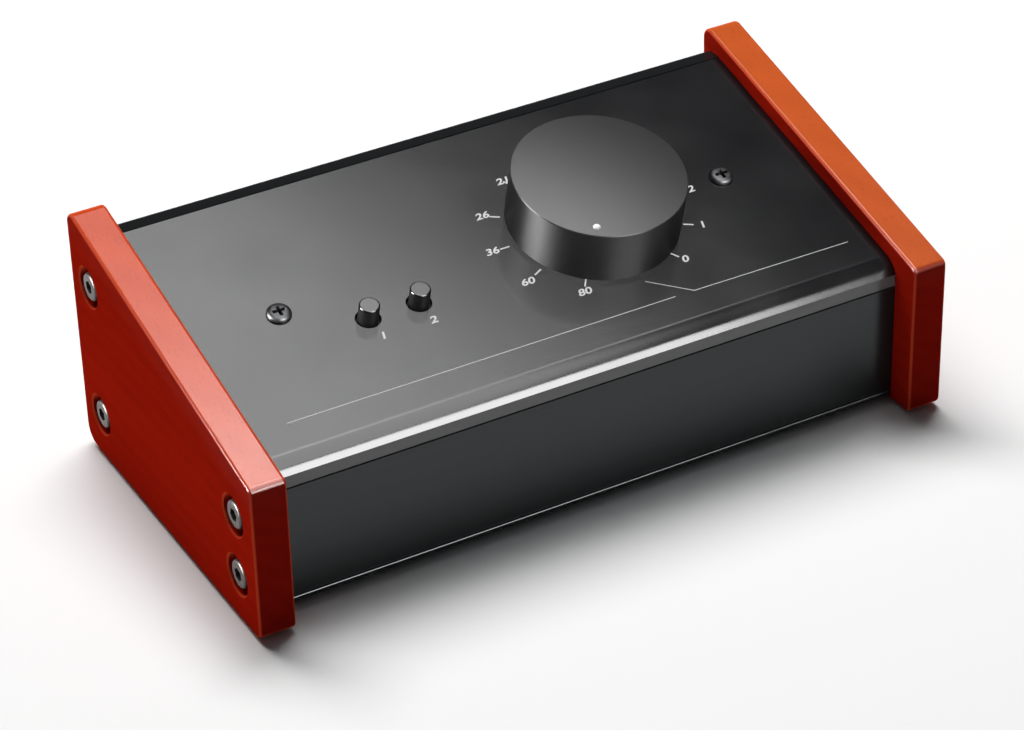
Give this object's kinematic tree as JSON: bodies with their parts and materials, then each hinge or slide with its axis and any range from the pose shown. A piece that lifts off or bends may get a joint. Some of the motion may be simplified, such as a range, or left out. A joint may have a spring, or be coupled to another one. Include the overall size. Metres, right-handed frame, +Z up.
{
  "type": "studio monitor controller",
  "caption": "Desktop studio monitor controller: sloped metal case between two wooden cheeks, one large attenuation knob and two push buttons on top, audio sockets behind.",
  "frame": {"origin": "on the desk, midway between the cheeks and midway between their front and rear edges", "axes": "+X to the user's right, along the case; +Y to the rear, where the sockets are; +Z up"},
  "size_m": [0.2, 0.103, 0.0757],
  "materials": {
    "red_stained_wood": "red stained, satin lacquer",
    "case_metal": "dark grey anodised extrusion, satin",
    "cover_metal": "dark grey satin painted sheet",
    "knob_metal": "turned and black anodised, satin",
    "white_paint": "white paint filling",
    "black_screw_steel": "black oxide",
    "zinc_screw_steel": "zinc plated",
    "bracket_steel": "zinc plated sheet",
    "shaft_steel": "drawn rod",
    "nickel_brass": "nickel plated",
    "black_button_plastic": "moulded, satin",
    "switch_plastic": "moulded",
    "board_laminate": "green solder mask",
    "socket_plastic": "glass filled, moulded",
    "foot_rubber": "matte",
    "ribbon_vinyl": "extruded flat cable"
  },
  "bodies": {
    "case": {"left_cheek": "red_stained_wood", "right_cheek": "red_stained_wood", "left_cheek_screws": "black_screw_steel", "right_cheek_screws": "black_screw_steel", "lower_case": "case_metal", "rear_panel": "case_metal", "floor_screws": "black_screw_steel", "top_cover": "cover_metal", "panel_screws": "black_screw_steel", "cover_bracket_left": "bracket_steel", "cover_bracket_right": "bracket_steel", "attenuator_body": "switch_plastic", "attenuator_bushing": "nickel_brass", "bushing_washer": "zinc_screw_steel", "bushing_nut": "nickel_brass", "mono_switch_body": "switch_plastic", "mute_switch_body": "switch_plastic", "switch_board": "board_laminate", "switch_board_spacers": "nickel_brass", "switch_board_screws": "zinc_screw_steel", "main_board": "board_laminate", "board_spacers": "nickel_brass", "board_screws": "zinc_screw_steel", "input_socket_left": "socket_plastic", "input_socket_right": "socket_plastic", "input_socket_screws": "black_screw_steel", "output_jack_left": "socket_plastic", "output_jack_right": "socket_plastic", "output_jack_nuts": "nickel_brass", "mini_input_jack": "socket_plastic", "mini_output_jack": "socket_plastic", "mini_jack_nuts": "nickel_brass", "ribbon_cable": "ribbon_vinyl", "ribbon_connectors": "socket_plastic", "rubber_feet": "foot_rubber"},
    "volume_knob": {"attenuation_knob": "knob_metal", "pointer_dot": "white_paint", "knob_set_screw": "black_screw_steel", "attenuator_shaft": "shaft_steel"},
    "mono_button": {"mono_button_cap": "black_button_plastic", "mono_switch_plunger": "switch_plastic"},
    "mute_button": {"mute_button_cap": "black_button_plastic", "mute_switch_plunger": "switch_plastic"}
  },
  "joints": [
    {"name": "knob_turn", "type": "hinge", "parent": "case", "child": "volume_knob", "pos_m": [0.0247, 0.00105, 0.05393], "axis": [0, 0.2447, -0.9696], "range_deg": [0, 292]},
    {"name": "mono_press", "type": "slide", "parent": "case", "child": "mono_button", "axis": [0, 0.2447, -0.9696], "range_m": [0, 0.0025], "stiffness_N_per_m": 400},
    {"name": "mute_press", "type": "slide", "parent": "case", "child": "mute_button", "axis": [0, 0.2447, -0.9696], "range_m": [0, 0.0025], "stiffness_N_per_m": 400}
  ]
}
